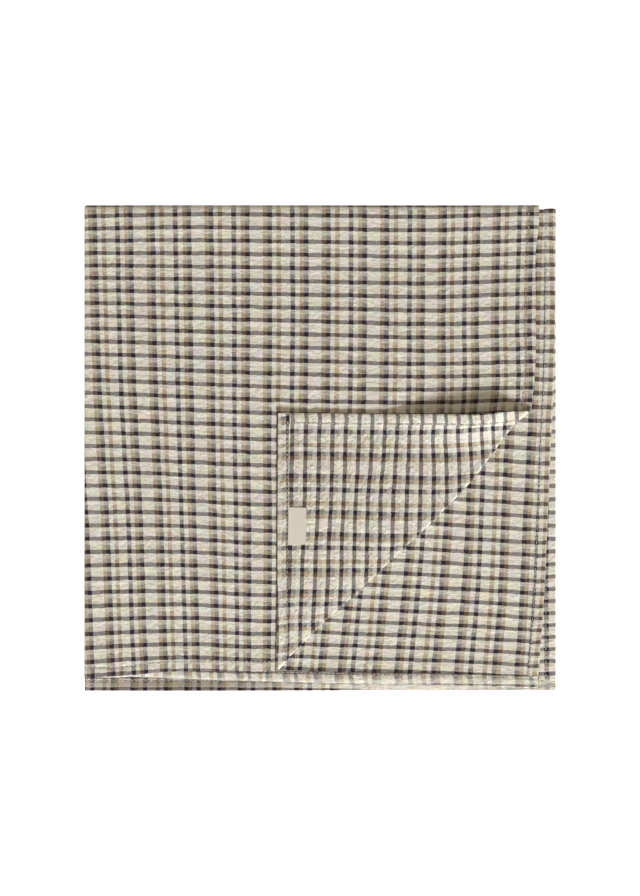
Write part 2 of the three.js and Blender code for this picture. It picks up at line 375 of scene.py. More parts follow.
# The table's reach and the lamp's place and size are in metres. The lamp stands in front, a
# little to the right, and the room round it gives a soft warm light.
TABLE_REACH = 30
LAMP_PLACE = (1.1, -4.8, 2.5)
LAMP_SIZE = 1.3
LAMP_POWER = 376
LAMP_TINT = (1.0, 1.065, 1.16)
ROOM_TINT = (1.0, 0.9, 0.76)
ROOM_STRENGTH = 0.4


def smoothstep(low, high, value):
    share = np.clip((value - low) / (high - low), 0, 1)
    return share * share * (3 - 2 * share)


def mix(first, second, share):
    return first + (second - first) * share


def curve(places, values, at):
    """A smooth curve through values at places. values may hold a column for each point of at."""
    places = np.asarray(places, float)
    values = np.asarray(values, float)
    at = np.clip(at, places[0], places[-1])
    index = np.clip(np.searchsorted(places, at, side="right") - 1, 0, len(places) - 2)
    slopes = np.gradient(values, places, axis=0)
    width = places[index + 1] - places[index]
    share = (at - places[index]) / width

    def pick(table, rows):
        if table.ndim == 1:
            return table[rows]
        return np.take_along_axis(table, rows[None], axis=0)[0]

    start, end = pick(values, index), pick(values, index + 1)
    leave, arrive = pick(slopes, index) * width, pick(slopes, index + 1) * width
    square, cube = share**2, share**3
    return (
        start * (2 * cube - 3 * square + 1)
        + leave * (cube - 2 * square + share)
        + end * (3 * square - 2 * cube)
        + arrive * (cube - square)
    )


def read(table, at):
    """Reads a short table { place: value } along a smooth curve."""
    return curve(list(table.keys()), list(table.values()), at)


def read_drift(table, across, down):
    """Reads a drift table at distances across from the first fold and down from the second."""
    rows = {place: values for place, values in table.items() if place != "columns"}
    across_rows = np.stack([curve(table["columns"], values, across) for values in rows.values()])
    return curve(list(rows.keys()), across_rows, down)


def layer_masks(a, b):
    """Which layer each point of the flat layout belongs to."""
    return {
        "top": (a >= 0) & (b >= 0),
        "second": (a < 0) & (b >= 0),
        "third": (a < 0) & (b < 0),
        "lowest": (a >= 0) & (b < 0),
    }


def layer_width(layer, along_share):
    return RIGHT - EDGE_ROUND - read(LAYERS[layer]["side"], along_share) - FIRST_FOLD_X


def layer_depth(layer, across_share):
    return SECOND_FOLD_Y - FRONT - EDGE_ROUND - read(LAYERS[layer]["front"], across_share)


class Points:
    """Points of the sheet, from the flat layout a, b: mm from the middle of each fold's turn."""

    def __init__(self, a, b):
        self.a = a
        self.b = b
        self.turn_across = QUARTER_TURN * np.clip(a / FIRST_ARC, -1, 1)
        self.turn_along = QUARTER_TURN * np.clip(b / SECOND_ARC, -1, 1)
        self.across = np.maximum(np.abs(a) - FIRST_ARC, 0)
        self.down = np.maximum(np.abs(b) - SECOND_ARC, 0)
        self.masks = layer_masks(a, b)
        self.width, self.depth = self.sizes()
        self.from_side = self.width - self.across
        self.from_front = self.depth - self.down
        self.x = FIRST_FOLD_X + self.across
        self.y = SECOND_FOLD_Y - self.down

    def sizes(self):
        """Each point's layer's width at its height, and depth at its place across."""
        width = np.full_like(self.a, WIDTH)
        depth = np.full_like(self.a, DEPTH)
        for _ in range(SIZE_ROUNDS):
            across_share = np.clip(self.across / width, 0, 1)
            along_share = np.clip(self.down / depth, 0, 1)
            for layer, mask in self.masks.items():
                width[mask] = layer_width(layer, along_share[mask])
                depth[mask] = layer_depth(layer, across_share[mask])
        return width, depth

    def sink(self):
        """How much lower than at the folds each point lies, as the layers settle on each other."""
        from_fold = np.minimum(self.across, self.down)
        from_edge = np.minimum(self.from_side, self.from_front)
        lowest = np.zeros_like(self.a)
        for layer, mask in self.masks.items():
            sink = LAYERS[layer]["sink"]
            inner = smoothstep(HEM_BAND, HEM_SINK_REACH, from_edge[mask])
            lowest[mask] = mix(sink["hem"], sink["middle"], inner)
        lowest = lowest * smoothstep(0, SINK_REACH, from_fold)
        lift = read(FRONT_LIFT, self.across) * (1 - smoothstep(0, FRONT_LIFT_REACH, self.from_front))
        return lowest - np.where(self.masks["third"], lift, 0)

    def hem(self, face):
        """How far a face stands out on the hems. The front hem is turned over the side hem's end."""
        places = [row["from_edge"] for row in HEM_ROWS]
        heights = [row[face] for row in HEM_ROWS]
        side = np.interp(self.from_side, places, heights)
        front = np.interp(self.from_front, places, heights)
        covered = 1 - smoothstep(HEM_BAND - 1, HEM_BAND + 0.5, self.from_front)
        return front + side * (1 - HEM_TUCKED * covered)

    def threads(self):
        """Which threads cross at each point, in mm across and along the flat cloth."""
        across = np.zeros_like(self.a)
        along = np.zeros_like(self.a)
        for layer, mask in self.masks.items():
            right = self.x[mask] - LEFT
            down = BACK - self.y[mask]
            start = THREADS[layer]
            sideways = read_drift(DRIFT[layer]["sideways"], right, down)
            forward = read_drift(DRIFT[layer]["forward"], right, down)
            across[mask] = start["across"] + start["sense"] * (right - sideways)
            along[mask] = start["along"] + start["going"] * start["pitch"] * (down - forward)
        return across, along


def crease_radius(share):
    return read(CREASE_RADIUS, np.clip(share, 0, 1))


def crease_start(share):
    """Where flat cloth starts to turn, so that the crease's outer face comes to 0."""
    return -crease_radius(share) - HALF_SHEET


CREASE_LENGTH = float(np.linalg.norm(CREASE_SIDE_END - CREASE_FRONT_END))
CREASE_ALONG = (CREASE_SIDE_END - CREASE_FRONT_END) / CREASE_LENGTH
CREASE_OUT = np.array([CREASE_ALONG[1], -CREASE_ALONG[0]])


def crease_place(x, y):
    """How far along the crease a flat point lies, as a share, and how many mm out past it."""
    offset_x, offset_y = x - CREASE_FRONT_END[0], y - CREASE_FRONT_END[1]
    share = (offset_x * CREASE_ALONG[0] + offset_y * CREASE_ALONG[1]) / CREASE_LENGTH
    return share, offset_x * CREASE_OUT[0] + offset_y * CREASE_OUT[1]


def top_layer_level(x, y):
    """The level of the top layer's middle surface over a place of the plan."""
    points = Points(FIRST_ARC + x - FIRST_FOLD_X, SECOND_ARC + SECOND_FOLD_Y - y)
    return TOP_LAYER_Z - points.sink()


def place_on_top(x, y, offset):
    """Points of the top layer, given where they lie while the corner is flat, once it is turned."""
    share, out = crease_place(x, y)
    radius = crease_radius(share)
    start = crease_start(share)
    back = out - start - math.pi * radius
    settled = smoothstep(0, read(FLAP_SETTLE, np.clip(share, 0, 1)), back)
    turn = np.clip((out - start) / radius, 0, math.pi)
    turned = back > 0
    turning = (out > start) & ~turned
    reach = np.where(turned, start - back, out)
    reach = np.where(turning, start + (radius - offset) * np.sin(turn), reach)
    height = np.where(turned, mix(2 * radius, FLAP_GAP, settled) - offset, offset)
    height = np.where(turning, radius - (radius - offset) * np.cos(turn), height)
    near_crease = 1 - smoothstep(0, BULGE_REACH, np.abs(reach))
    push = reach + read(CREASE_BULGE, np.clip(share, 0, 1)) * near_crease
    plan_x = CREASE_FRONT_END[0] + CREASE_ALONG[0] * share * CREASE_LENGTH + CREASE_OUT[0] * push
    plan_y = CREASE_FRONT_END[1] + CREASE_ALONG[1] * share * CREASE_LENGTH + CREASE_OUT[1] * push
    to_edge = 1 - smoothstep(0, FLAP_LIFT_REACH, FLAP_BACK_Y - plan_y)
    lift = read(FLAP_LIFT, plan_x) * to_edge * smoothstep(0, FLAP_LIFT_START, back)
    height = height + np.where(turned, lift, 0)
    return np.stack([plan_x, plan_y, top_layer_level(plan_x, plan_y) + height], axis=1)


def place_round_folds(points, offset):
    """Points where the cloth goes round the two folds, or lies flat between layers."""
    pair_radius = PAIR_RADIUS + offset
    level = pair_radius * np.sin(points.turn_across)
    left = 1 - points.down / points.depth
    short = NEST_SHORT * left * (1 - level / PAIR_OUTER_RADIUS) / 2
    fold_radius = NEST_RADIUS + level
    x = points.x - pair_radius * np.cos(points.turn_across)
    y = points.y - short + fold_radius * np.cos(points.turn_along)
    z = FOLD_Z + fold_radius * np.sin(points.turn_along) - points.sink()
    return np.stack([x, y, z], axis=1)


def place_cloth(points, offset):
    """Points of the folded cloth. offset is the distance from its middle, towards its right side."""
    placed = place_round_folds(points, offset)
    top = (points.a > FIRST_ARC) & (points.b > SECOND_ARC)
    placed[top] = place_on_top(points.x[top], points.y[top], offset[top])
    return placed


def hem_shares(length):
    return [1 - row["from_edge"] / length for row in HEM_ROWS]


def spaced(end, step):
    count = max(1, round(abs(end) / step))
    return np.linspace(0, end, count + 1)


def layout_lines(hidden, sizes):
    """Lines of the flat layout from one free edge to the other: shares of the way to each edge."""
    lines = []
    for side, (length, step) in sizes.items():
        flat_end = length - HEM_ROWS[-1]["from_edge"]
        start = hidden.get(side, 0)
        near = list(spaced(start, COARSE)) if start else [0.0]
        far = list(start + spaced(flat_end - start, step))
        flats = near[:-1] + far if start else far
        lines.append([place / length for place in flats[1:]] + hem_shares(length)[-2::-1])
    return lines


def station_list(arc, hidden, sizes):
    """Stations across the whole sheet: { arc place, or share of the flat past it, side }."""
    negative, positive = layout_lines(hidden, sizes)
    stations = [{"side": -1, "arc": arc, "share": share} for share in reversed(negative)]
    for step in range(FOLD_STEPS + 1):
        turn = -1 + 2 * step / FOLD_STEPS
        stations.append({"side": 1 if turn >= 0 else -1, "arc": abs(turn) * arc, "share": 0.0})
    stations += [{"side": 1, "arc": arc, "share": share} for share in positive]
    return stations


def column_of(stations, key):
    return np.array([station[key] for station in stations], float)


def flat_layout():
    """The sheet's grid in its flat layout, as a bmesh with a for x and b for y."""
    mean_width = WIDTH - MEAN_SIDE_SHORT
    mean_depth = DEPTH - MEAN_FRONT_SHORT
    across = station_list(
        FIRST_ARC, {-1: SECOND_HIDDEN}, {-1: (mean_width, SECOND_FINE), 1: (mean_width, FINE)}
    )
    along = station_list(SECOND_ARC, {}, {-1: (mean_depth, COARSE), 1: (mean_depth, FINE)})
    share_a, share_b = np.meshgrid(column_of(across, "share"), column_of(along, "share"))
    side_a, side_b = np.meshgrid(column_of(across, "side"), column_of(along, "side"))
    arc_a, arc_b = np.meshgrid(column_of(across, "arc"), column_of(along, "arc"))
    width = np.zeros_like(share_a)
    depth = np.zeros_like(share_a)
    for layer, mask in layer_masks(side_a, side_b).items():
        width[mask] = layer_width(layer, share_b[mask])
        depth[mask] = layer_depth(layer, share_a[mask])
    a = side_a * (arc_a + share_a * width)
    b = side_b * (arc_b + share_b * depth)
    grid = bmesh.new()
    rows, columns = a.shape
    corners = [[grid.verts.new((a[r, c], b[r, c], 0)) for c in range(columns)] for r in range(rows)]
    for r in range(1, rows):
        for c in range(1, columns):
            ring = (corners[r - 1][c - 1], corners[r - 1][c], corners[r][c], corners[r][c - 1])
            grid.faces.new(ring)
    return grid


def crease_lines():
    """Lines along the crease where the sheet is cut: the turn there, and mm beyond it."""
    lines = [{"turn": math.pi * step / CREASE_TURNS, "beyond": 0} for step in range(CREASE_TURNS + 1)]
    for beyond in CREASE_SIDE_LINES:
        lines.append({"turn": 0, "beyond": -beyond})
        lines.append({"turn": math.pi, "beyond": beyond})
    return lines


def in_top_layer(vert):
    return vert.co.x > FIRST_ARC and vert.co.y > SECOND_ARC


def cut_along_crease(grid):
    """Cuts the top layer's faces along the crease, so that it turns in smooth steps."""
    for line in crease_lines():
        ends = []
        for share in (0.0, 1.0):
            out = crease_start(share) + line["turn"] * crease_radius(share) + line["beyond"]
            flat = CREASE_FRONT_END + CREASE_ALONG * share * CREASE_LENGTH + CREASE_OUT * out
            ends.append((FIRST_ARC + flat[0] - FIRST_FOLD_X, SECOND_ARC + SECOND_FOLD_Y - flat[1]))
        (a0, b0), (a1, b1) = ends
        faces = [face for face in grid.faces if all(in_top_layer(vert) for vert in face.verts)]
        edges = {edge for face in faces for edge in face.edges}
        verts = {vert for face in faces for vert in face.verts}
        bmesh.ops.bisect_plane(
            grid,
            geom=[*verts, *edges, *faces],
            dist=1e-4,
            plane_co=(float(a0), float(b0), 0),
            plane_no=(float(b1 - b0), float(a0 - a1), 0),
        )


def build_sheet():
    """The sheet's flat layout as arrays: vertex places, faces and the ring round its outer edge."""
    grid = flat_layout()
    cut_along_crease(grid)
    grid.verts.index_update()
    places = np.array([vert.co[:2] for vert in grid.verts])
    faces = [[vert.index for vert in face.verts] for face in grid.faces]
    follows = {}
    for face in grid.faces:
        for loop in face.loops:
            if loop.edge.is_boundary:
                follows[loop.vert.index] = loop.link_loop_next.vert.index
    ring = [next(iter(follows))]
    while follows[ring[-1]] != ring[0]:
        ring.append(follows[ring[-1]])
    grid.free()
    return places, faces, ring


def edge_places(places, ring):
    """The outer edge's points, and the unit way out of the sheet at each, along a and along b."""
    inner = Points(places[ring, 0], places[ring, 1])
    at_side = inner.from_side < ON_EDGE
    at_front = inner.from_front < ON_EDGE
    out_a = np.where(at_side, np.sign(inner.a), 0.0)
    out_b = np.where(at_front, np.sign(inner.b), 0.0)
    size = np.maximum(np.hypot(out_a, out_b), 1)
    return inner, out_a / size, out_b / size


def face_offset(points, face):
    """A face's distance from the middle surface, towards the right side."""
    if face == "right":
        return HALF_SHEET + points.hem("right")
    return -HALF_SHEET - points.hem("wrong")


def threads_round_folds(points):
    """Threads at each point, carried evenly round the two folds."""
    across, along = points.threads()
    turns = (
        (points.a, points.b, FIRST_ARC, lambda end, other: Points(end, other)),
        (points.b, points.a, SECOND_ARC, lambda end, other: Points(other, end)),
    )
    for turning, other, arc, at in turns:
        mask = np.abs(turning) < arc
        if not mask.any():
            continue
        end = np.full(mask.sum(), arc + PAST_FOLD)
        near_across, near_along = at(-end, other[mask]).threads()
        far_across, far_along = at(end, other[mask]).threads()
        share = (turning[mask] + arc) / (2 * arc)
        across[mask] = mix(near_across, far_across, share)
        along[mask] = mix(near_along, far_along, share)
    return across, along


def band_threads(points):
    """Threads of the hem's turned-over band, which shows what lies past the edge, mirrored."""
    front = points.from_front < HEM_BAND + BAND_OVER
    side = (points.from_side < HEM_BAND + BAND_OVER) & ~front
    slipped = np.where(points.masks["second"], SECOND_BAND_SLIP, 0.0)
    beyond_a = np.where(side, 2 * points.from_side + slipped, 0.0)
    beyond_b = np.where(front, 2 * points.from_front + FRONT_BAND_SLIP, 0.0)
    over = Points(points.a + np.sign(points.a) * beyond_a, points.b + np.sign(points.b) * beyond_b)
    across, along = over.threads()
    shift = np.where(points.masks["second"], read(BAND_SHIFT, points.across), BAND_SHIFT[0])
    slip = shift + BAND_SLANT * (HEM_BAND - points.from_front)
    return across + np.where(front, slip, 0), along


def freedom(points):
    """How freely the cloth may pucker: fully where it shows, hardly between the layers."""
    _, out = crease_place(points.x, points.y)
    past_crease = smoothstep(*CREASE_CLEAR, out)
    near_crease = 1 - smoothstep(*CREASE_NEAR, np.abs(out))
    corner_left = smoothstep(-CORNER_BLEND, CORNER_BLEND, points.x - CREASE_FRONT_END[0])
    corner_back = smoothstep(-CORNER_BLEND, CORNER_BLEND, FLAP_BACK_Y - points.y)
    under_corner = corner_left * corner_back * (1 - past_crease)
    share = np.full_like(points.a, FREE_THIRD)
    top, second = points.masks["top"], points.masks["second"]
    share[top] = (mix(1, FREE_UNDER_CORNER, under_corner) * mix(1, FREE_AT_CREASE, near_crease))[top]
    share = share * mix(FREE_FLAT, FREE_TURNED, turned_share(points))
    share[second] = mix(FREE_SECOND_HIDDEN, FREE_SECOND, past_crease)[second]
    share[points.masks["lowest"]] = 0
    from_fold = np.minimum(points.across, points.down)
    from_edge = np.minimum(points.from_side, points.from_front)
    inside = mix(FREE_AT_EDGE, 1, smoothstep(*FREE_FROM_EDGE, from_edge))
    return share * smoothstep(0, FREE_FROM_FOLD, from_fold) * inside


def outward_of_face(points, offset):
    """Which way the cloth's right side faces, as a unit vector, from the placed surface itself."""
    step = 0.4
    here = place_cloth(points, offset)
    right = place_cloth(Points(points.a + step, points.b), offset) - here
    down = place_cloth(Points(points.a, points.b + step), offset) - here
    normal = np.cross(down, right)
    size = np.linalg.norm(normal, axis=1, keepdims=True)
    return normal / np.maximum(size, 1e-9)


def give_attribute(mesh, name, kind, values):
    layer = mesh.attributes.new(name, kind, "POINT")
    key = "vector" if kind == "FLOAT_VECTOR" else "value"
    layer.data.foreach_set(key, np.asarray(values, np.float32).ravel())


def make_object(name, places, faces, edges=()):
    mesh = bpy.data.meshes.new(name)
    mesh.from_pydata((np.asarray(places) * MM).tolist(), list(edges), faces)
    mesh.update()
    piece = bpy.data.objects.new(name, mesh)
    bpy.context.scene.collection.objects.link(piece)
    return piece


def pucker_attributes(mesh, points, offset):
    """What the pucker tree reads: the way out of the surface, the threads and how free it is."""
    across, along = threads_round_folds(points)
    give_attribute(mesh, "facing", "FLOAT_VECTOR", outward_of_face(points, offset))
    flat = np.stack([across, along, np.zeros_like(across)], axis=1)
    give_attribute(mesh, "threads", "FLOAT_VECTOR", flat)
    give_attribute(mesh, "freedom", "FLOAT", freedom(points))
    # The mask where the material paints shade into the stitch lines' hollows
    give_attribute(mesh, "seam_shadow", "FLOAT", seam_shadow_share(points))
    give_attribute(mesh, "loose", "FLOAT", mix(LOOSE["flat"], LOOSE["turned"], turned_share(points)))
    give_attribute(mesh, "fade", "FLOAT", fade_share(points))


def fade_share(points):
    near_front = 1 - smoothstep(HEM_BAND - 0.5, HEM_BAND + 0.5, points.from_front)
    fade = np.zeros_like(points.a)
    second, third = points.masks["second"], points.masks["third"]
    fade[second] = BAND_FADE
    fade[third] = read(STRIP_FADE, points.across[third])
    return fade * near_front


def turned_share(points):
    """1 on the turned corner, 0 on the cloth that lies flat."""
    _, out = crease_place(points.x, points.y)
    return np.where(points.masks["top"], smoothstep(-TURNED_BLEND, TURNED_BLEND, out), 0)


def seam_shadow_share(points):
    """How near each point is to a hem's stitch line, for painted shade: 1 on it, 0 away from it."""
    off_side = np.abs(points.from_side - HEM_STITCH)
    off_front = np.abs(points.from_front - HEM_STITCH)
    side_clear = points.from_front > HEM_STITCH
    front_clear = points.from_side > HEM_STITCH
    near_side = np.where(side_clear, off_side, SEAM_AWAY)
    near_front = np.where(front_clear, off_front, SEAM_AWAY)
    return 1 - smoothstep(*SEAM_REACH, np.minimum(near_side, near_front))


def join_points(parts):
    a = np.concatenate([part.a for part in parts])
    b = np.concatenate([part.b for part in parts])
    return Points(a, b)


def cloth_mesh():
    """The folded cloth as one closed mesh with the threads in its UV map."""
    places, faces, ring = build_sheet()
    flat = Points(places[:, 0], places[:, 1])
    count = len(places)
    inner, out_a, out_b = edge_places(places, ring)
    right_offset = face_offset(flat, "right")
    wrong_offset = face_offset(flat, "wrong")
    parts = [flat, flat]
    offsets = [right_offset, wrong_offset]
    for step in range(1, EDGE_TURNS):
        turn = QUARTER_TURN * (1 - 2 * step / EDGE_TURNS)
        middle = (right_offset[ring] + wrong_offset[ring]) / 2
        half = (right_offset[ring] - wrong_offset[ring]) / 2
        reach = EDGE_ROUND * math.cos(turn)
        parts.append(Points(inner.a + out_a * reach, inner.b + out_b * reach))
        offsets.append(middle + half * math.sin(turn))
    points = join_points(parts)
    offset = np.concatenate(offsets)
    placed = place_cloth(points, offset)
    rows = [list(ring)]
    for step in range(1, EDGE_TURNS):
        first = 2 * count + (step - 1) * len(ring)
        rows.append([first + index for index in range(len(ring))])
    rows.append([count + index for index in ring])
    all_faces = [face[::-1] for face in faces]
    all_faces += [[count + index for index in face] for face in faces]
    for near, far in zip(rows, rows[1:]):
        for index in range(len(ring)):
            following = (index + 1) % len(ring)
            all_faces.append([near[index], near[following], far[following], far[index]])
    piece = make_object("scarf_cloth", placed, all_faces)
    pucker_attributes(piece.data, points, offset)
    plain = np.stack(threads_round_folds(points), axis=1)
    banded = np.stack(band_threads(points), axis=1)
    give_threads_map(piece.data, flat, faces, plain, banded)
    return piece


def give_threads_map(mesh, flat, faces, plain, banded):
    """The UV map: threads in metres, with the hem's band on the wrong side mirrored at the edge."""
    count = len(faces)
    from_edge = np.minimum(flat.from_side, flat.from_front)
    in_band = [max(from_edge[index] for index in face) < HEM_BAND + BAND_OVER for face in faces]
    is_band = np.zeros(len(mesh.polygons), bool)
    is_band[count : 2 * count] = in_band
    loop_vertex = np.zeros(len(mesh.loops), np.int32)
    mesh.loops.foreach_get("vertex_index", loop_vertex)
    totals = np.zeros(len(mesh.polygons), np.int32)
    mesh.polygons.foreach_get("loop_total", totals)
    loop_band = np.repeat(is_band, totals)
    values = np.where(loop_band[:, None], banded[loop_vertex], plain[loop_vertex]) * MM
    threads = mesh.uv_layers.new(name="threads_map")
    threads.data.foreach_set("uv", values.astype(np.float32).ravel())


def stitch_lines():
    """Layout polylines of the four hems' stitching, each a pair of arrays a, b."""
    lines = []
    for side in (1, -1):
        b = np.arange(-DEPTH, DEPTH, PATH_STEP)
        lines.append(edge_line(side, b, "side"))
        a = np.arange(-WIDTH, WIDTH, PATH_STEP)
        lines.append(edge_line(side, a, "front"))
    return lines


def edge_line(side, along, edge):
    """A line HEM_STITCH inside one free edge, kept clear of the other hems' corners."""
    far = np.full_like(along, side * LINE_START)
    for _ in range(LINE_ROUNDS):
        points = Points(far, along) if edge == "side" else Points(along, far)
        gap = (points.from_side if edge == "side" else points.from_front) - HEM_STITCH
        far = far + side * gap
    points = Points(far, along) if edge == "side" else Points(along, far)
    clear = (points.from_front if edge == "side" else points.from_side) > HEM_STITCH
    return points.a[clear], points.b[clear]


def geometry_tree(name, inputs):
    """An empty Geometry Nodes tree with named inputs { name: (socket type, default) }."""
    tree = bpy.data.node_groups.new(name, "GeometryNodeTree")
    tree.interface.new_socket("Geometry", in_out="INPUT", socket_type="NodeSocketGeometry")
    for label, (kind, default) in inputs.items():
        socket = tree.interface.new_socket(label, in_out="INPUT", socket_type=kind)
        if default is not None:
            socket.default_value = default
    tree.interface.new_socket("Geometry", in_out="OUTPUT", socket_type="NodeSocketGeometry")
    return tree


class Graph:
    """Adds nodes to a tree and links what they are given."""

    def __init__(self, tree):
        self.tree = tree

    def add(self, kind, settings=None, **inputs):
        node = self.tree.nodes.new(kind)
        for key, value in (settings or {}).items():
            setattr(node, key, value)
        for key, value in inputs.items():
            self.feed(node, key, value)
        return node

    def feed(self, node, key, value):
        numbered = key[0] == "i" and key[1:].isdigit()
        socket = node.inputs[int(key[1:]) if numbered else key.replace("_", " ")]
        if isinstance(value, bpy.types.Node):
            value = next(output for output in value.outputs if output.enabled)
        if isinstance(value, bpy.types.NodeSocket):
            self.tree.links.new(value, socket)
        else:
            socket.default_value = value

    def math(self, operation, first, second=0.0, third=0.0):
        node = self.add("ShaderNodeMath", {"operation": operation}, i0=first, i1=second)
        self.feed(node, "i2", third)
        return node.outputs[0]

    def vector(self, operation, first, second=(0.0, 0.0, 0.0)):
        node = self.add("ShaderNodeVectorMath", {"operation": operation}, i0=first, i1=second)
        return node.outputs[0]

    def scale(self, vector, amount):
        node = self.add("ShaderNodeVectorMath", {"operation": "SCALE"}, i0=vector)
        self.feed(node, "Scale", amount)
        return node.outputs[0]

    def noise(self, place, scale, detail, roughness=0.5):
        settings = {"Scale": scale, "Detail": detail, "Roughness": roughness}
        return self.add("ShaderNodeTexNoise", Vector=place, **settings)

    def share_between(self, value, low, high):
        """How far value is on the way from low to high, kept between 0 and 1."""
        node = self.add("ShaderNodeMapRange", {"clamp": True}, Value=value)
        self.feed(node, "From Min", low)
        self.feed(node, "From Max", high)
        return node.outputs[0]

    def point_value(self, name):
        """A point attribute's number, in a material."""
        return self.add("ShaderNodeAttribute", {"attribute_name": name}).outputs["Fac"]

    def point_field(self, name, kind):
        """A point attribute, in a Geometry Nodes tree."""
        node = self.add("GeometryNodeInputNamedAttribute", {"data_type": kind}, Name=name)
        return node.outputs[0]

    def finish_tree(self, geometry, material):
        """Ends a Geometry Nodes tree with plain geometry in its material."""
        real = self.add("GeometryNodeRealizeInstances", Geometry=geometry)
        dyed = self.add("GeometryNodeSetMaterial", Geometry=real, Material=material)
        self.feed(self.add("NodeGroupOutput"), "Geometry", dyed.outputs[0])

    def finish_material(self, shader):
        self.feed(self.add("ShaderNodeOutputMaterial"), "Surface", shader)

    def blend(self, share, first, second):
        node = self.add("ShaderNodeMix", {"data_type": "RGBA"}, i0=share, i6=first, i7=second)
        return node.outputs[2]


def pucker_tree():
    """Swells the cloth softly along the way its surface faces, by noise that follows its threads."""
    tree = geometry_tree(
        "pucker",
        {
            "Height": ("NodeSocketFloat", PUCKER_HEIGHT * MM),
            "Long": ("NodeSocketFloat", float(PUCKER_LONG)),
            "Wide": ("NodeSocketFloat", float(PUCKER_WIDE)),
            "Seed": ("NodeSocketFloat", float(PUCKER_SEED)),
            "Cloth": ("NodeSocketMaterial", None),
        },
    )
    g = Graph(tree)
    given = g.add("NodeGroupInput")
    threads = g.point_field("threads", "FLOAT_VECTOR")
    facing = g.point_field("facing", "FLOAT_VECTOR")
    free = g.point_field("freedom", "FLOAT")
    parts = g.add("ShaderNodeSeparateXYZ", i0=threads)
    across = g.math("DIVIDE", parts.outputs[0], given.outputs["Wide"])
    along = g.math("DIVIDE", parts.outputs[1], given.outputs["Long"])
    where = g.add("ShaderNodeCombineXYZ", i0=across, i1=along, i2=given.outputs["Seed"])
    noise = g.noise(where, 1.0, PUCKER_FINE["detail"], PUCKER_FINE["roughness"])
    swell = g.math("SUBTRACT", noise.outputs[0], 0.5)
    broad = g.scale(where, PUCKER_BROAD["stretch"])
    broad_noise = g.noise(broad, 1.0, PUCKER_BROAD["detail"], PUCKER_BROAD["roughness"])
    broad_swell = g.math("SUBTRACT", broad_noise.outputs[0], 0.5)
    fine_part = g.math("MULTIPLY", swell, PUCKER_FINE["share"])
    total = g.math("MULTIPLY_ADD", broad_swell, PUCKER_BROAD["share"], fine_part)
    height = g.math("MULTIPLY", g.math("MULTIPLY", total, free), given.outputs["Height"])
    offset = g.scale(facing, height)
    moved = g.add("GeometryNodeSetPosition", Geometry=given.outputs["Geometry"], Offset=offset)
    g.finish_tree(moved, given.outputs["Cloth"])
    return tree


def set_input(modifier, name, value):
    """Sets a modifier's input by its socket's identifier."""
    for item in modifier.node_group.interface.items_tree:
        if item.item_type == "SOCKET" and item.in_out == "INPUT" and item.name == name:
            modifier[item.identifier] = value
            return


def make_plain(piece):
    """Turns a piece with live modifiers into a plain mesh."""
    bpy.context.view_layer.update()
    evaluated = piece.evaluated_get(bpy.context.evaluated_depsgraph_get())
    mesh = bpy.data.meshes.new_from_object(evaluated)
    piece.modifiers.clear()
    old = piece.data
    piece.data = mesh
    mesh.name = piece.name
    bpy.data.meshes.remove(old)
    return piece


def smooth(piece):
    for polygon in piece.data.polygons:
        polygon.use_smooth = True


def stitch_tree():
    """Lays rounded stitches along the piece's edges, end to end with small gaps."""
    tree = geometry_tree(
        "stitches",
        {
            "Pitch": ("NodeSocketFloat", STITCH_PITCH * MM),
            "Length": ("NodeSocketFloat", STITCH_LENGTH * MM),
            "Radius": ("NodeSocketFloat", THREAD_RADIUS * MM),
            "Seed": ("NodeSocketInt", STITCH_SEED),
            "Thread": ("NodeSocketMaterial", None),
        },
    )
    g = Graph(tree)
    given = g.add("NodeGroupInput")
    path = g.add("GeometryNodeMeshToCurve", Mesh=given.outputs["Geometry"])
    stations = g.add(
        "GeometryNodeResampleCurve", {"mode": "LENGTH"}, Curve=path, Length=given.outputs["Pitch"]
    )
    tangent = g.add("GeometryNodeInputTangent")
    ball = g.add("GeometryNodeMeshUVSphere", Segments=6, Rings=6, Radius=given.outputs["Radius"])
    half = g.math("DIVIDE", given.outputs["Length"], given.outputs["Radius"])
    stretch = g.add("ShaderNodeCombineXYZ", i0=1.0, i1=1.0, i2=g.math("MULTIPLY", half, 0.5))
    shape = g.add("GeometryNodeTransform", Geometry=ball.outputs["Mesh"], Scale=stretch)
    turn = g.add("FunctionNodeAlignRotationToVector", {"axis": "Z"}, Vector=tangent)
    jitter = g.add(
        "FunctionNodeRandomValue",
        {"data_type": "FLOAT_VECTOR"},
        i0=(-STITCH_TWIST,) * 3,
        i1=(STITCH_TWIST,) * 3,
        Seed=given.outputs["Seed"],
    )
    turned = g.add("FunctionNodeRotateRotation", Rotation=turn, Rotate_By=jitter.outputs[0])
    laid = g.add("GeometryNodeInstanceOnPoints", Points=stations, Instance=shape, Rotation=turned)
    g.finish_tree(laid, given.outputs["Thread"])
    return tree


def stitch_paths():
    """The hems' stitch lines on both faces, as one mesh of edges."""
    parts, offsets, edges, start = [], [], [], 0
    for a, b in stitch_lines():
        for face, sense in (("right", 1), ("wrong", -1)):
            points = Points(a, b)
            lift = sense * THREAD_RADIUS * STITCH_STANDS
            parts.append(points)
            offsets.append(face_offset(points, face) + lift)
            edges += [(start + index, start + index + 1) for index in range(len(a) - 1)]
            start += len(a)
    points = join_points(parts)
    offset = np.concatenate(offsets)
    placed = place_cloth(points, offset)
    placed[:, 2] = np.maximum(placed[:, 2], THREAD_RADIUS)
    piece = make_object("hem_stitches", placed, [], edges)
    pucker_attributes(piece.data, points, offset)
    return piece


def add_tree(piece, tree, name):
    modifier = piece.modifiers.new(name, "NODES")
    modifier.node_group = tree
    return modifier


# The materials


def new_material(name):
    material = bpy.data.materials.new(name)
    material.use_nodes = True
    material.node_tree.nodes.clear()
    return material, Graph(material.node_tree)


def colour(red, green, blue):
    return (red, green, blue, 1.0)


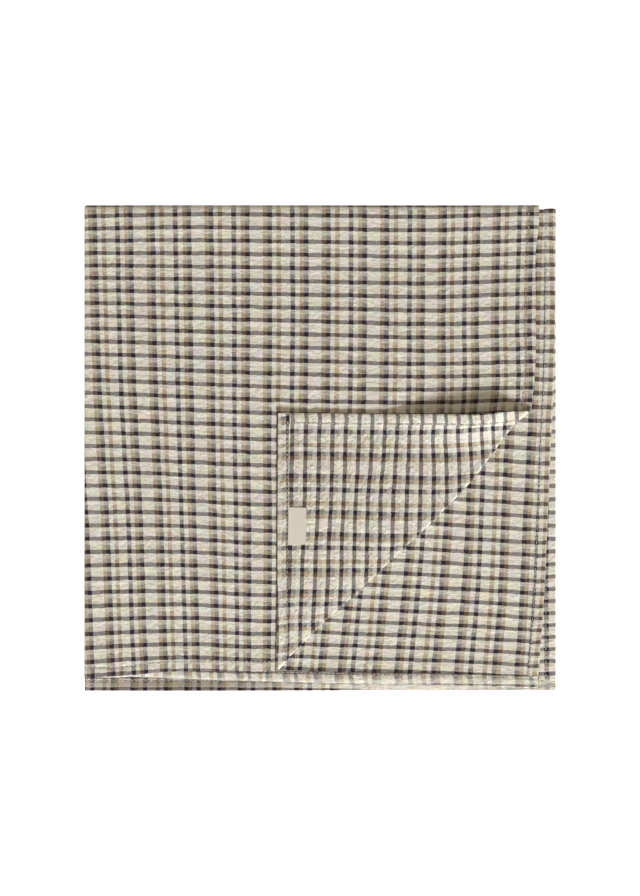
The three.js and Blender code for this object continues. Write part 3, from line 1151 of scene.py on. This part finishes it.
WARP_YARN = {
    "cream": colour(0.735, 0.693, 0.583),
    "tan": colour(0.32, 0.228, 0.122),
    "charcoal": colour(0.03, 0.026, 0.03),
}
WEFT_YARN = {
    "bright": colour(0.77, 0.724, 0.615),
    "plain": colour(0.65, 0.588, 0.498),
    "dark": colour(0.037, 0.023, 0.035),
}
WEFT_COVER = {"bright": 0.571, "plain": 0.377, "dark": 0.7}
# The colour of the painted shade in the stitch lines' hollows
SEAM_SHADOW_COLOUR = colour(0.07, 0.05, 0.035)

# Noise scales here are in turns to the metre, reaches in mm
WAVERS = ({"scale": 480.0, "reach": 0.95}, {"scale": 100.0, "reach": 1.3})
STREAK_STRETCHES = ((2600.0, 130.0, 1.0), (130.0, 2600.0, 1.0))
STREAK_DEPTH = 0.42
HUE_SCALE = 120.0
HUE_DEPTH = (0.27, 0.22, 0.42)
WARMTH = (1.018, 1.012, 1.01)
CRINKLE_SCALE = 260.0
CRINKLE_STRETCH = (1.0, 1.35, 1.0)
WEAVE_BUMP = 0.04
WEAVE_CROSSING = 0.25
COVER_BITE = 1.3
HALF_GREY = (0.5, 0.5, 0.5)


def stripe_ramp(g, place, stripes, values):
    """A colour ramp over one repeat of stripes, with soft edges."""
    ramp = g.add("ShaderNodeValToRGB", i0=place)
    repeat = sum(stripe["width"] for stripe in stripes)
    stops = []
    edge = 0.0
    for stripe in stripes:
        width = stripe["width"]
        soft = STRIPE_EDGE / 2
        stops.append((max(0.0, (edge + soft) / repeat), values[stripe["yarn"]]))
        stops.append((min(1.0, (edge + width - soft) / repeat), values[stripe["yarn"]]))
        edge += width
    elements = ramp.color_ramp.elements
    elements[0].position, elements[0].color = stops[0]
    elements[1].position, elements[1].color = stops[-1]
    for position, value in stops[1:-1]:
        element = elements.new(position)
        element.color = value
    return ramp


def repeat_share(g, place, repeat, start):
    """Where a place in metres falls within its repeat, from 0 to 1."""
    shifted = g.math("ADD", place, -start * MM)
    return g.math("FRACT", g.math("DIVIDE", shifted, repeat * MM))


def cloth_material():
    material, g = new_material("check_cotton")
    threads = g.add("ShaderNodeUVMap", {"uv_map": "threads_map"})
    wavered = threads.outputs[0]
    for waver in WAVERS:
        noise = g.noise(threads, waver["scale"], 2.0)
        shift = g.scale(g.vector("SUBTRACT", noise.outputs[1], HALF_GREY), waver["reach"] * MM)
        wavered = g.vector("ADD", wavered, shift)
    parts = g.add("ShaderNodeSeparateXYZ", i0=wavered)
    across, along = parts.outputs[0], parts.outputs[1]
    warp_start = -WARP_STRIPES[0]["width"] / 2
    warp = stripe_ramp(g, repeat_share(g, across, WARP_REPEAT, warp_start), WARP_STRIPES, WARP_YARN)
    weft_share = repeat_share(g, along, WEFT_REPEAT, 0)
    weft = stripe_ramp(g, weft_share, WEFT_BANDS, WEFT_YARN)
    covers = {yarn: colour(cover, cover, cover) for yarn, cover in WEFT_COVER.items()}
    cover_ramp = stripe_ramp(g, weft_share, WEFT_BANDS, covers)
    cover = g.add("ShaderNodeSeparateColor", i0=cover_ramp).outputs[0]
    weave = weave_height(g, across, along)
    threshold = g.math("MULTIPLY", g.math("SUBTRACT", 0.5, cover), COVER_BITE)
    above = g.math("SUBTRACT", weave, threshold)
    crossing = g.share_between(above, -WEAVE_CROSSING, WEAVE_CROSSING)
    share = g.math("MULTIPLY_ADD", crossing, 0.5, g.math("MULTIPLY", cover, 0.5))
    woven = g.blend(share, warp.outputs[0], weft.outputs[0])
    faded = g.blend(g.point_value("fade"), woven, WEFT_YARN["bright"])
    tinted = tint(g, threads, paint_seam_shadow(g, threads, faded))
    return finish_cloth(material, g, threads, tinted, weave)


def paint_seam_shadow(g, threads, base):
    """Paints shade into the cloth's colour in the stitch lines' hollows, unevenly along them."""
    uneven = g.noise(threads, 300.0, 1.0)
    patches = g.share_between(uneven.outputs[0], 0.38, 0.55)
    shaded = g.math("MULTIPLY", g.point_value("seam_shadow"), patches)
    return g.blend(g.math("MULTIPLY", shaded, SEAM_SHADE), base, SEAM_SHADOW_COLOUR)


def weave_height(g, across, along):
    """A plain weave: positive where a weft yarn passes over, negative where a warp yarn does."""
    turn = math.pi / (YARN * MM)
    waves = [g.math("SINE", g.math("MULTIPLY", place, turn)) for place in (across, along)]
    return g.math("MULTIPLY", waves[0], waves[1])


def tint(g, threads, base):
    """Uneven yarns and a soft drift of warmth from place to place."""
    places = [g.vector("MULTIPLY", threads.outputs[0], stretch) for stretch in STREAK_STRETCHES]
    streaks = [g.noise(place, 1.0, 1.0) for place in places]
    both = g.math("ADD", streaks[0].outputs[0], streaks[1].outputs[0])
    light = g.math("MULTIPLY_ADD", g.math("SUBTRACT", both, 1.0), STREAK_DEPTH, 1.0)
    hue = g.noise(threads, HUE_SCALE, 1.0)
    hue_away = g.vector("SUBTRACT", hue.outputs[1], HALF_GREY)
    hue_shift = g.vector("MULTIPLY", hue_away, HUE_DEPTH)
    warm = g.vector("ADD", hue_shift, WARMTH)
    lit = g.scale(base, light)
    return g.vector("MULTIPLY", lit, warm)


def finish_cloth(material, g, threads, base, weave):
    """Adds the crinkle and the yarns' relief, and makes the cloth dry and matte."""
    stretched = g.vector("MULTIPLY", threads.outputs[0], CRINKLE_STRETCH)
    crinkle = g.noise(stretched, CRINKLE_SCALE, 2.0, 0.6)
    crinkled = g.math("MULTIPLY", crinkle.outputs[0], g.point_value("loose"))
    height = g.math("MULTIPLY_ADD", weave, WEAVE_BUMP, crinkled)
    bump = g.add("ShaderNodeBump", Strength=1.0, Distance=CRINKLE_HEIGHT * MM, Height=height)
    shader = g.add("ShaderNodeBsdfPrincipled", Base_Color=base, Roughness=0.92, Normal=bump)
    shader.inputs["Specular IOR Level"].default_value = 0.06
    shader.inputs["Sheen Weight"].default_value = 0.02
    g.finish_material(shader)
    return material


def thread_material():
    material, g = new_material("sewing_thread")
    place = g.add("ShaderNodeTexCoord").outputs["Object"]
    noise = g.noise(place, 900.0, 2.0)
    base = g.blend(noise.outputs[0], colour(0.62, 0.58, 0.5), colour(0.8, 0.76, 0.67))
    bump = g.add("ShaderNodeBump", Strength=0.4, Distance=0.05 * MM, Height=noise.outputs[0])
    shader = g.add("ShaderNodeBsdfPrincipled", Base_Color=base, Roughness=0.7, Normal=bump)
    g.finish_material(shader)
    return material


def label_material():
    material, g = new_material("woven_tape")
    place = g.add("ShaderNodeTexCoord").outputs["Object"]
    ribs = g.add("ShaderNodeTexWave", {"bands_direction": "Y"}, Vector=place, Scale=900.0)
    noise = g.noise(place, 260.0, 3.0)
    share = g.math("MULTIPLY_ADD", ribs.outputs[1], 0.25, g.math("MULTIPLY", noise.outputs[0], 0.6))
    base = g.blend(share, colour(0.62, 0.565, 0.46), colour(0.75, 0.69, 0.575))
    bump = g.add("ShaderNodeBump", Strength=0.3, Distance=0.08 * MM, Height=share)
    shader = g.add("ShaderNodeBsdfPrincipled", Base_Color=base, Roughness=0.65, Normal=bump)
    shader.inputs["Sheen Weight"].default_value = 0.1
    g.finish_material(shader)
    return material


def floor_material():
    material, g = new_material("pale_table")
    place = g.add("ShaderNodeTexCoord").outputs["Object"]
    noise = g.noise(place, 6.0, 2.0)
    base = g.blend(noise.outputs[0], colour(0.86, 0.86, 0.86), colour(0.88, 0.88, 0.88))
    shader = g.add("ShaderNodeBsdfPrincipled", Base_Color=base, Roughness=0.8)
    shader.inputs["Emission Color"].default_value = colour(1, 1, 1)
    shader.inputs["Emission Strength"].default_value = 0.9
    g.finish_material(shader)
    return material


# The pieces


def make_cloth(material, puckers):
    piece = cloth_mesh()
    set_input(add_tree(piece, puckers, "pucker"), "Cloth", material)
    make_plain(piece)
    smooth(piece)
    return piece


def make_stitches(material, puckers):
    piece = stitch_paths()
    set_input(add_tree(piece, puckers, "pucker"), "Cloth", material)
    stitches = add_tree(piece, stitch_tree(), "stitches")
    set_input(stitches, "Thread", material)
    make_plain(piece)
    smooth(piece)
    return piece


def flap_top_level(x, y):
    """The level of the turned corner's upper face over a place of the plan."""
    return top_layer_level(x, y) + FLAP_GAP + HALF_SHEET


def make_label(material):
    """A hairpin of tape: out from the hem, round its free end, and back, a little lifted."""
    length = LABEL_TIP_X - LABEL_ROOT_X - LABEL_LOOP - LABEL_TAPE / 2
    side_count, wide_count, turn_count = 14, 12, 8
    level_x = np.array([LABEL_ROOT_X + LABEL_LEVEL_AT])
    level = float(flap_top_level(level_x, np.array([LABEL_MIDDLE_Y]))[0])
    path = []
    for step in range(side_count):
        path.append((length * step / side_count, 0.0, 0.0))
    for step in range(turn_count + 1):
        turn = -QUARTER_TURN + math.pi * step / turn_count
        out, up = length + LABEL_LOOP * math.cos(turn), LABEL_LOOP + LABEL_LOOP * math.sin(turn)
        path.append((out, up, turn + QUARTER_TURN))
    for step in reversed(range(side_count)):
        path.append((length * step / side_count, 2 * LABEL_LOOP, math.pi))
    places, faces = [], []
    half = LABEL_TAPE / 2
    for side in (1, -1):
        for out, up, turn in path:
            normal = (math.sin(turn), -math.cos(turn))
            for column in range(wide_count + 1):
                share = column / wide_count - 0.5
                taper = 1 - LABEL_TAPER * out / length
                lift = LABEL_LIFT * (out / length) ** 2 * (1 + LABEL_LIFT_SKEW * share)
                skew = LABEL_ROOT_SKEW * (0.5 + share) ** 3
                x = LABEL_ROOT_X + out + side * half * normal[0] - skew
                y = LABEL_MIDDLE_Y - share * LABEL_WIDE * taper
                z = level + half + LABEL_CLEAR + up + lift + side * half * normal[1]
                places.append((x, y, z))
    row_count, column_count = len(path), wide_count + 1

    def at(side, row, column):
        return (side * row_count + row) * column_count + column

    for row in range(row_count - 1):
        for column in range(wide_count):
            for side in (0, 1):
                near = [at(side, row, column), at(side, row + 1, column)]
                far = [at(side, row + 1, column + 1), at(side, row, column + 1)]
                faces.append(near + far)
        for column in (0, wide_count):
            start = [at(0, row, column), at(0, row + 1, column)]
            end = [at(1, row + 1, column), at(1, row, column)]
            faces.append(start + end)
    for row in (0, row_count - 1):
        for column in range(wide_count):
            start = [at(0, row, column), at(0, row, column + 1)]
            end = [at(1, row, column + 1), at(1, row, column)]
            faces.append(start + end)
    piece = make_object("side_label", np.array(places), faces)
    mesh = bmesh.new()
    mesh.from_mesh(piece.data)
    bmesh.ops.recalc_face_normals(mesh, faces=mesh.faces)
    mesh.to_mesh(piece.data)
    mesh.free()
    piece.data.materials.append(material)
    return piece


def make_floor(material):
    mesh = bpy.data.meshes.new("table_top")
    corners = [(x * TABLE_REACH, y * TABLE_REACH, 0) for x, y in ((-1, -1), (1, -1), (1, 1), (-1, 1))]
    mesh.from_pydata(corners, [], [(0, 1, 2, 3)])
    floor = bpy.data.objects.new("table_top", mesh)
    floor.data.materials.append(material)
    bpy.context.scene.collection.objects.link(floor)
    return floor


def make_camera():
    data = bpy.data.cameras.new("camera")
    data.sensor_width = SENSOR
    data.lens = SENSOR * VIEW_DISTANCE / (VIEW_HEIGHT * MM)
    camera = bpy.data.objects.new("camera", data)
    camera.location = (VIEW_MIDDLE[0] * MM, VIEW_MIDDLE[1] * MM, VIEW_DISTANCE + VIEW_LEVEL * MM)
    bpy.context.scene.collection.objects.link(camera)
    bpy.context.scene.camera = camera


def make_area_light(name, place, target, size, tint, power):
    data = bpy.data.lights.new(name, "AREA")
    data.color = tint
    data.shape = "DISK"
    data.size = size
    data.energy = power
    lamp = bpy.data.objects.new(name, data)
    lamp.location = place
    lamp.rotation_mode = "QUATERNION"
    lamp.rotation_quaternion = (Vector(target) - Vector(place)).to_track_quat("-Z", "Y")
    bpy.context.scene.collection.objects.link(lamp)


def make_world(tint, strength):
    world = bpy.data.worlds.new("studio")
    world.use_nodes = True
    background = world.node_tree.nodes["Background"]
    background.inputs[0].default_value = (*tint, 1.0)
    background.inputs[1].default_value = strength
    bpy.context.scene.world = world


def make_light():
    make_world(ROOM_TINT, ROOM_STRENGTH)
    make_area_light("window", LAMP_PLACE, (0, 0, 0), LAMP_SIZE, LAMP_TINT, LAMP_POWER)
    bpy.context.scene.view_settings.view_transform = "Standard"


make_camera()
make_light()
floor = make_floor(floor_material())
puckers = pucker_tree()
cloth = make_cloth(cloth_material(), puckers)
stitches = make_stitches(thread_material(), puckers)
label = make_label(label_material())

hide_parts("cloth")
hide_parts("label")
for piece, slot in ((cloth, "cloth"), (stitches, "cloth"), (label, "label")):
    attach(piece, "root")
